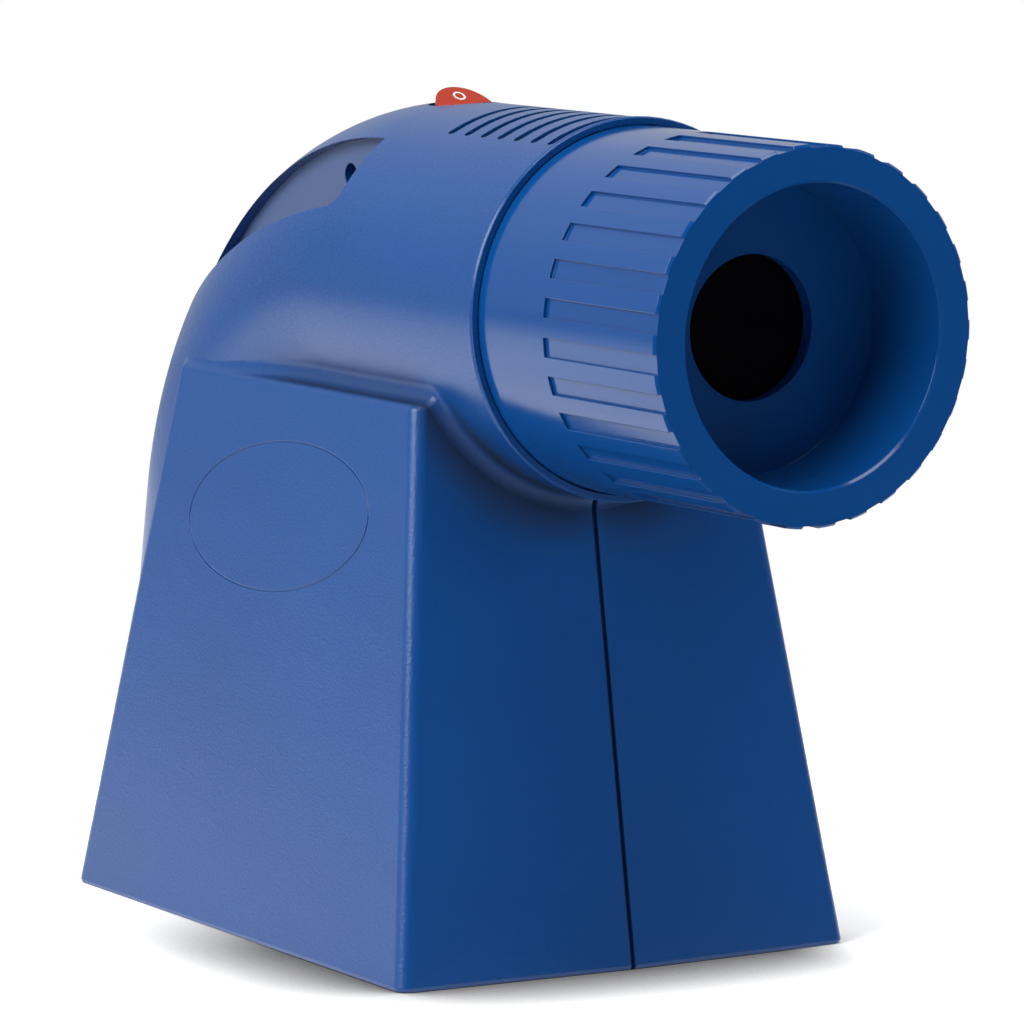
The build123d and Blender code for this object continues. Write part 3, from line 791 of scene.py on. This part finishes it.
@dataclass
class ScrewSet:
    """Pan-head screws with a cross recess and a cut thread.

    Attributes:
        node: node that the screws stand for.
        seats: (x, y, z) under each head and the side the point goes to.
        length: length under the head.
        shank: radius over the thread.
        core: radius under the thread, as a share of the shank.
        head_rim: height of the head's rim, as a share of the head's.
        head_top: radius of the head's flat top, as a share of the head's.
        recess: length, width and depth of each slot of the cross.
    """

    finishes: Finishes
    node: str
    seats: Sequence[Seat]
    length: float
    shank: float = 0.0017
    core: float = 0.74
    head: float = 0.0031
    head_height: float = 0.0024
    head_rim: float = 0.35
    head_top: float = 0.45
    recess: tuple[float, float, float] = (0.0032, 0.0008, 0.0030)
    thread_pitch: float = 0.0012

    def build(self) -> Piece:
        """Model one screw, then set a copy down at each seat.

        Returns:
            The screws as one piece.
        """
        rim, flat = self.head_rim, self.head_top
        profile = [(0.0, 0.0), (self.head, 0.0), (self.head, rim * self.head_height)]
        for step in range(1, 5):
            bow = math.radians(22.5 * step)
            rise = rim * self.head_height + (1 - rim) * self.head_height * math.sin(bow)
            out = self.head * (flat + (1 - flat) * math.cos(bow))
            profile.append((max(out, flat * self.head), rise))
        profile.append((0.0, self.head_height))
        head = Bench.turned("screw_head", profile, 32)
        for turn in (0.0, math.pi / 2):
            slot = Bench.block("recess", self.recess, (0, 0, self.head_height + 0.0002))
            slot.rotation_euler = (0, 0, turn)
            Bench.cut(head, Bench.settle(slot))
        thread = [(0.0, -self.length), (0.35 * self.shank, -self.length)]
        height = -self.length + 0.0015
        while height < -0.0014:
            thread.append((self.core * self.shank, height))
            thread.append((self.shank, height + 0.42 * self.thread_pitch))
            thread.append((self.shank, height + 0.52 * self.thread_pitch))
            height += self.thread_pitch
        thread += [(self.core * self.shank, -0.0009), (0.9 * self.shank, 0.0002), (0.0, 0.0002)]
        shank = Bench.turned("screw_shank", thread, 20, 20)
        model = Bench.join("screw", [head, shank])
        places = [along(Vector((-side, 0, 0)), Vector(seat)) for seat, side in self.seats]
        piece = repeat(model, f"{self.node}_cut", places)
        give(piece, self.finishes.zinc)
        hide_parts(self.node)
        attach(piece, "housing")
        log.info("%s: %d screws", self.node, len(self.seats))
        return piece


@dataclass
class Rocker:
    """Printed marks on the rocker: a ring on the raised half and a bar on the other.

    Attributes:
        pivot: pivot in metres.
        tilt: lean of the rocker at rest, in radians.
        face_angle: slope of each half of the face.
        face_height: height of the face's middle over the pivot.
        mark_at: how far down each half its mark stands.
        ring_radius: mean radius of the ring.
        line: width of the marks' lines.
        print_rise: half the thickness of the prints.
    """

    finishes: Finishes
    pivot: tuple[float, float, float] = (0.0, 0.012146, 0.2326)
    tilt: float = math.radians(10.0)
    face_angle: float = math.radians(23.0)
    face_height: float = 0.0042
    mark_at: float = 0.0062
    ring_radius: float = 0.00165
    line: float = 0.00055
    print_rise: float = 0.00006

    def _spot(self, side: int) -> Matrix:
        """Placing on the face's front (-1) or rear (1) half, with Z out of the face."""
        up = Matrix.Translation(Vector(self.pivot)) @ Matrix.Rotation(self.tilt, 4, "X")
        face = Matrix.Translation((0, 0, self.face_height))
        run = Matrix.Rotation(side * self.face_angle, 4, "X")
        return up @ face @ run @ Matrix.Translation((0, side * self.mark_at, 0))

    def build(self) -> Piece:
        """Model the two marks as thin prints.

        Returns:
            The marks as one piece.
        """
        inner, outer = self.ring_radius - self.line / 2, self.ring_radius + self.line / 2
        rise = self.print_rise
        profile = [(inner, -rise), (outer, -rise), (outer, rise), (inner, rise)]
        ring = Bench.turned("mark_off", profile, 40)
        Bench.set_down(ring, self._spot(1))
        bar = Bench.block("mark_on", (self.line, 2 * outer, 2 * rise), (0, 0, 0))
        Bench.soften(bar, 0.00004)
        Bench.set_down(bar, self._spot(-1))
        piece = Bench.join("rocker_marks", [ring, bar])
        give(piece, self.finishes.ink)
        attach(piece, "rocker")
        log.info("rocker marks printed")
        return piece


@dataclass
class Lens:
    """Biconvex lens, ground and polished.

    Attributes:
        front: where its front edge lies along the sleeve, in metres.
        edge: thickness at its edge.
        bulge: height of each face over the edge.
    """

    finishes: Finishes
    front: float = FRONT_Y + 0.0351
    radius: float = 0.023
    edge: float = 0.0032
    bulge: float = 0.003
    chamfer: float = 0.0002
    rings: int = 12

    def build(self) -> Piece:
        """Turn the lens, with a fine chamfer at its edge."""
        curve = (self.radius**2 + self.bulge**2) / (2 * self.bulge)
        face = []
        for ring in range(self.rings + 1):
            out = self.radius * (1 - ring / self.rings) * 0.995
            face.append((out, math.sqrt(curve**2 - out**2) - curve + self.bulge))
        below = [(r, -h) for r, h in reversed(face)]
        above = [(r, self.edge + h) for r, h in face]
        edge = [(self.radius, self.chamfer), (self.radius, self.edge - self.chamfer)]
        piece = Bench.turned("lens_ground", below + edge + above, 96, 30)
        Bench.set_down(piece, along(Vector((0, 1, 0)), Vector((0, self.front, AXIS_Z))))
        give(piece, self.finishes.lens)
        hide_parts("lens")
        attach(piece, "focus_sleeve")
        log.info("lens ground")
        return piece


@dataclass
class Lamp:
    """Bulb, screw cap and porcelain socket on the leaning lamp axis.

    Attributes:
        foot: where the lamp's axis meets the table, in metres.
        lean: lean of the axis from upright, in radians.
        bulb_low: height of the bulb's lowest point, along the axis.
        dome_rings: rings of the bulb's round end.
        neck_rings: rings from the bulb's widest point to its neck.
        cap_pitch: pitch of the cap's thread.
        cap_wave: depth of the cap's thread.
        wave_rings: rings of each turn of the thread.
        seated: length of the cap inside the socket.
    """

    finishes: Finishes
    foot: tuple[float, float, float] = (0.0, 0.1101331 + 0.013 / math.cos(LEG_LEAN), 0.0)
    lean: float = LEG_LEAN
    bulb_low: float = 0.0401051
    bulb_radius: float = 0.026
    bulb_length: float = 0.088
    neck_radius: float = 0.0135
    cap_radius: float = 0.013
    cap_length: float = 0.025
    cap_pitch: float = 0.0036
    cap_wave: float = 0.0007
    dome_rings: int = 14
    neck_rings: int = 12
    wave_rings: int = 8
    seated: float = 0.015
    socket_radius: float = 0.019
    socket_length: float = 0.038

    def _axis(self) -> Matrix:
        """Placing of the lamp's axis."""
        return along(Vector((0, -math.sin(self.lean), math.cos(self.lean))), Vector(self.foot))

    def _bulb(self) -> Piece:
        """The glass envelope."""
        low, radius = self.bulb_low, self.bulb_radius
        profile = [(0.0, low)]
        for ring in range(1, self.dome_rings + 1):
            turn = math.radians(90 * ring / self.dome_rings)
            profile.append((radius * math.sin(turn), low + radius * (1 - math.cos(turn))))
        span = self.bulb_length - radius
        for ring in range(1, self.neck_rings + 1):
            share = ring / self.neck_rings
            ease = share * share * (3 - 2 * share)
            out = radius + (self.neck_radius - radius) * ease
            profile.append((out, low + radius + span * share))
        top = low + self.bulb_length
        profile += [(self.neck_radius - 0.0006, top + 0.0004), (0.0, top + 0.0004)]
        piece = Bench.turned("lamp_envelope", profile, 64, 60)
        give(piece, self.finishes.bulb)
        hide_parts("lamp_bulb")
        return piece

    def _cap(self) -> Piece:
        """The screw cap with its rolled thread and its centre contact."""
        low, r = self.bulb_low + self.bulb_length, self.cap_radius
        profile = [(0.0, low + 0.0005), (r, low + 0.0005), (r, low + 0.004)]
        height, pitch, rings = low + 0.005, self.cap_pitch, self.wave_rings
        while height < low + self.cap_length - 0.006:
            for ring in range(rings):
                wave = self.cap_wave * math.cos(2 * math.pi * ring / rings)
                profile.append((r - self.cap_wave + wave, height + pitch * ring / rings))
            height += pitch
        end = low + self.cap_length
        profile += [(r - 0.002, end - 0.003), (0.005, end - 0.0008), (0.005, end), (0.0, end)]
        piece = Bench.turned("lamp_screw_cap", profile, 48, 40)
        give(piece, self.finishes.brass)
        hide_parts("lamp_cap")
        return piece

    def _socket(self) -> Piece:
        """The porcelain socket with its rim, waist and mounting face."""
        low = self.bulb_low + self.bulb_length + self.cap_length - self.seated
        top, r, bore = low + self.socket_length, self.socket_radius, self.cap_radius + 0.0003
        groove = r - 0.0011
        mouth = [(bore, low + 0.0010), (bore + 0.0008, low), (r - 0.0012, low)]
        mouth += [(r - 0.0003, low + 0.0004), (r, low + 0.0014)]
        wall = [(r, low + 0.006), (groove, low + 0.0072), (groove, low + 0.010), (r, low + 0.0112)]
        wall += [(r, top - 0.0112), (groove, top - 0.010), (groove, top - 0.0072)]
        back = [(r, top - 0.006), (r, top - 0.0008), (r - 0.0008, top), (0.005, top)]
        inside = [(0.0042, top - 0.001), (0.0042, low + self.seated + 0.001)]
        profile = mouth + wall + back + inside + [(bore, low + self.seated + 0.0006)]
        piece = Bench.turned("lamp_holder", profile, 56, 35)
        give(piece, self.finishes.porcelain)
        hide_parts("lamp_socket")
        return piece

    def build(self) -> list[Piece]:
        """Model the three pieces and stand them on the lamp's axis."""
        pieces = [self._bulb(), self._cap(), self._socket()]
        for piece in pieces:
            Bench.set_down(piece, self._axis())
            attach(piece, "housing")
        log.info("lamp built")
        return pieces


@dataclass
class Terminals:
    """Blades under the switch, each with its latch hole, given a brass finish.

    Attributes:
        middle: middle of the pair at its upper end, in metres.
        hole_drop: how far down the blade its hole lies.
    """

    finishes: Finishes
    middle: tuple[float, float, float]
    width: float = 0.0063
    thickness: float = 0.0008
    length: float = 0.007
    spacing: float = 0.007
    hole_radius: float = 0.0009
    hole_drop: float = 0.0045

    def build(self) -> Piece:
        """Model one blade and set down two."""
        size = (self.width, self.thickness, self.length)
        blade = Bench.block("blade", size, (0, 0, -self.length / 2))
        r, reach = self.hole_radius, 0.003
        hole = Bench.turned("hole", [(0.0, -reach), (r, -reach), (r, reach), (0.0, reach)], 20)
        Bench.set_down(hole, along(Vector((0, 1, 0)), Vector((0, 0, -self.hole_drop))))
        Bench.cut(blade, hole)
        Bench.soften(blade, 0.0002)
        apart = Vector((0, self.spacing / 2, 0))
        places = [Matrix.Translation(Vector(self.middle) + side * apart) for side in (-1, 1)]
        piece = repeat(blade, "switch_blades", places)
        give(piece, self.finishes.brass)
        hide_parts("switch_terminals")
        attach(piece, "housing")
        log.info("switch blades built")
        return piece


@dataclass
class Grommet:
    """Rubber grommet round the cord's hole at the foot of the leg.

    Attributes:
        lean: lean of the leg, in radians.
        place: middle of the hole on the leg's outer face, in metres.
        waist: radius in the leg's wall.
        inner: depth of the inner flange's seat.
    """

    finishes: Finishes
    lean: float = LEG_LEAN
    place: tuple[float, float, float] = (0.0, 0.15953288, 0.03009839)
    bore: float = 0.0036
    waist: float = 0.0052
    flange: float = 0.0076
    flange_thickness: float = 0.0016
    inner: float = 0.0023611

    def build(self) -> Piece:
        """Turn the grommet with rounded flanges."""
        t, low, high = self.flange_thickness, -self.inner, 0.0
        b, w, f = self.bore, self.waist, self.flange
        profile = [(b + 0.0006, low - t), (f - 0.0007, low - t), (f - 0.0001, low - 0.7 * t)]
        profile += [(f, low - 0.0003), (f - 0.0002, low), (w, low), (w, high), (f - 0.0002, high)]
        profile += [(f, high + 0.0003), (f - 0.0001, high + 0.55 * t), (f - 0.0012, high + t)]
        profile += [(b + 0.0007, high + t), (b + 0.0001, high + 0.8 * t), (b, high), (b, low)]
        profile += [(b + 0.0001, low - 0.8 * t)]
        piece = Bench.turned("cord_gland", profile, 48, 50)
        way = Vector((0, math.cos(self.lean), math.sin(self.lean)))
        Bench.set_down(piece, along(way, Vector(self.place)))
        give(piece, self.finishes.rubber)
        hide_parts("cord_grommet")
        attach(piece, "housing")
        log.info("grommet built")
        return piece


# --- studio
@dataclass(frozen=True)
class SoftBox:
    """One soft box.

    Attributes:
        name: name of the lamp.
        place: where it stands.
        aim: what it points at.
        size: its width and height.
        watts: its power.
        mirrored: whether it shows in glossy surfaces.
    """

    name: str
    place: tuple[float, float, float]
    aim: tuple[float, float, float]
    size: tuple[float, float]
    watts: float
    mirrored: bool = True

    def build(self) -> None:
        """Hang the lamp."""
        light = bpy.data.lights.new(self.name, "AREA")
        light.shape = "RECTANGLE"
        light.size, light.size_y = self.size
        light.energy = self.watts
        lamp = bpy.data.objects.new(self.name, light)
        bpy.context.scene.collection.objects.link(lamp)
        lamp.location = self.place
        lamp.visible_glossy = self.mirrored
        way = Vector(self.aim) - Vector(self.place)
        lamp.rotation_euler = way.to_track_quat("-Z", "Y").to_euler()


SOFT_BOXES = (
    SoftBox("key", (-2.1, -0.22, 1.4), (0, 0, 0.12), (1.5, 1.5), 75.0),
    SoftBox("top", (-0.1, -0.55, 2.0), (0, 0, 0.1), (1.3, 1.3), 30.0),
    SoftBox("fill", (2.0, -1.0, 0.85), (0, 0, 0.12), (0.8, 1.0), 26.0, mirrored=False),
)


@dataclass
class Studio:
    """Floor, backdrop light and camera.

    Attributes:
        camera_place: where the camera stands, in metres.
        yaw: the camera's turn from the Y axis, in radians.
        pitch: its tilt above the level, in radians.
        roll: its roll, in radians.
        focal_px: its focal length, in pixels of an image 1024 pixels wide.
        floor_size: side of the floor, in metres.
        floor_drop: depth of the floor under the projector, in metres.
        floor_lift: light added to the floor that the camera sees.
        floor_glow: light of the floor that glossy surfaces see.
        floor_lit: from where to where, along Y, that light comes up.
        floor_white: from where to where, round the middle, the seen floor turns white.
        contact_reach: how far the painted shadow beside the projector reaches, in metres.
        contact_power: strength of that painted shadow.
        ambient: light of the room on matt surfaces.
        backdrop_lit: brightness of the backdrop in glossy surfaces.
        ceiling_lit: how much brighter the backdrop is at mid height.
        room_dark: brightness of the room in front in glossy surfaces.
    """

    camera_place: tuple[float, float, float] = (-0.89676, -1.43172, 0.33115)
    yaw: float = 0.5643
    pitch: float = -0.1241
    roll: float = 0.0132
    focal_px: float = 5865.15
    floor_size: float = 12.0
    floor_drop: float = 0.0001
    floor_lift: float = 0.45
    floor_glow: float = 0.75
    floor_lit: tuple[float, float] = (-0.25, 0.0)
    floor_white: tuple[float, float] = (0.26, 0.5)
    contact_reach: float = 0.055
    contact_power: float = 4.2
    ambient: float = 0.10
    backdrop_lit: float = 0.58
    ceiling_lit: float = 0.3
    room_dark: float = 0.03

    def _floor(self) -> None:
        """A wide pale floor that keeps the shadow, adds a painted shadow near the projector and
        painted light in reflections, and is white to the camera away from it.
        """
        Bench.clear()
        bpy.ops.mesh.primitive_plane_add(size=self.floor_size, location=(0, 0, -self.floor_drop))
        floor = bpy.context.active_object
        floor.name = "floor"
        Bench.settle(floor)
        graph = Graph("floor_paper")
        cloud = graph.noise(3.0, 2.0)
        seen = graph.ray("Is Camera Ray")
        glossy = graph.ray("Is Glossy Ray")
        length = {"operation": "LENGTH"}
        reach = graph.put("VectorMath", length, {0: graph.place}, "Value")
        near = graph.axis("Y").step(*self.floor_lit) * (1 - reach.step(0.5, 2.2) * 0.65)
        # painted shadow: to the camera the floor darkens near the projector's foot, mostly in front
        # of it and less towards +X
        open_sky = graph.open_sky(self.contact_reach, 12)
        ahead = 1 - graph.axis("Y").step(-0.02, 0.09) * 0.85
        ahead = ahead * (1 - graph.axis("X").step(0.05, 0.09) * 0.8)
        contact = 1 - seen * (1 - open_sky**self.contact_power) * ahead
        tone = graph.mix(cloud, (0.84, 0.84, 0.84), (0.88, 0.88, 0.88))
        # painted reflection: glossy rays see the floor near black, save a strip in front that glows
        tone = graph.mix(glossy * (1 - near), tone, (0.02, 0.02, 0.02))
        tone = graph.mix(contact, (0.0, 0.0, 0.0), tone)
        paper = graph.put("BsdfDiffuse", {}, {"Color": tone, "Roughness": 0.5}, "BSDF")
        away = reach.step(*self.floor_white)
        glow = seen * contact * self.floor_lift + glossy * near * self.floor_glow
        lift = graph.glow("Emission", glow)
        lit = graph.put("AddShader", {}, {0: paper, 1: lift}, "Shader")
        sockets = {0: seen * away, 1: lit, 2: graph.glow("Emission", 1.0)}
        graph.put_output(graph.put("MixShader", {}, sockets, "Shader"))
        give(floor, graph.material)

    def _world(self) -> None:
        """White to the camera; a lit backdrop behind and a dim room in front to reflections."""
        world = bpy.data.worlds.new("studio")
        bpy.context.scene.world = world
        world.use_nodes = True
        graph = Graph.over(world.node_tree)
        way = graph.put("TexCoord", {}, {}, "Generated")
        ahead, height = way.part("Y"), way.part("Z")
        backdrop = ahead.step(-0.25, 0.30) * (self.backdrop_lit - self.room_dark) + self.room_dark
        backdrop = backdrop * (1 + height.step(0.15, 0.45) * self.ceiling_lit)
        backdrop = backdrop * (1 - height.step(0.6, 0.9) * 0.7)
        seen = graph.ray("Is Camera Ray")
        glossy = graph.ray("Is Glossy Ray")
        through = graph.ray("Is Transmission Ray")
        plain = 1 - seen - glossy - through
        strength = seen + through + glossy * backdrop + plain * self.ambient
        graph.put_output(graph.glow("Background", strength), "World")

    def _camera(self) -> None:
        """The camera, with its own roll and a long lens."""
        yaw, pitch, roll = self.yaw, self.pitch, self.roll
        ahead = Vector((math.sin(yaw), math.cos(yaw), 0.0)) * math.cos(pitch)
        ahead.z = math.sin(pitch)
        level = Vector((math.cos(yaw), -math.sin(yaw), 0.0))
        upright = level.cross(ahead)
        right = math.cos(roll) * level + math.sin(roll) * upright
        up = -math.sin(roll) * level + math.cos(roll) * upright
        data = bpy.data.cameras.new("camera")
        data.sensor_width = 36.0
        data.lens = self.focal_px * 36.0 / 1024.0
        data.clip_start, data.clip_end = 0.05, 50.0
        camera = bpy.data.objects.new("camera", data)
        bpy.context.scene.collection.objects.link(camera)
        turn = Matrix((right, up, -ahead)).transposed().to_4x4()
        camera.matrix_world = Matrix.Translation(Vector(self.camera_place)) @ turn
        bpy.context.scene.camera = camera

    def build(self) -> None:
        """Set the studio up."""
        self._camera()
        self._floor()
        self._world()
        for box in SOFT_BOXES:
            box.build()
        bpy.context.scene.view_settings.view_transform = "Standard"
        log.info("studio ready")


def main() -> None:
    """Build and dress the projector, then the studio."""
    logging.basicConfig(level=logging.INFO, format="%(name)s: %(message)s")
    finishes = Finishes()
    dress(finishes)
    ScrewSet(finishes, "housing_screws", CLAMPS, 0.018).build()
    ScrewSet(finishes, "carrier_screws", CARRIER_SEATS, 0.007).build()
    ScrewSet(finishes, "bracket_screws", BRACKET_SEATS, 0.007).build()
    Rocker(finishes).build()
    Lens(finishes).build()
    Lamp(finishes).build()
    low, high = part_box("switch_terminals")
    Terminals(finishes, (0.0, (low.y + high.y) / 2, high.z)).build()
    Grommet(finishes).build()
    Studio().build()


if __name__ == "__main__":
    main()
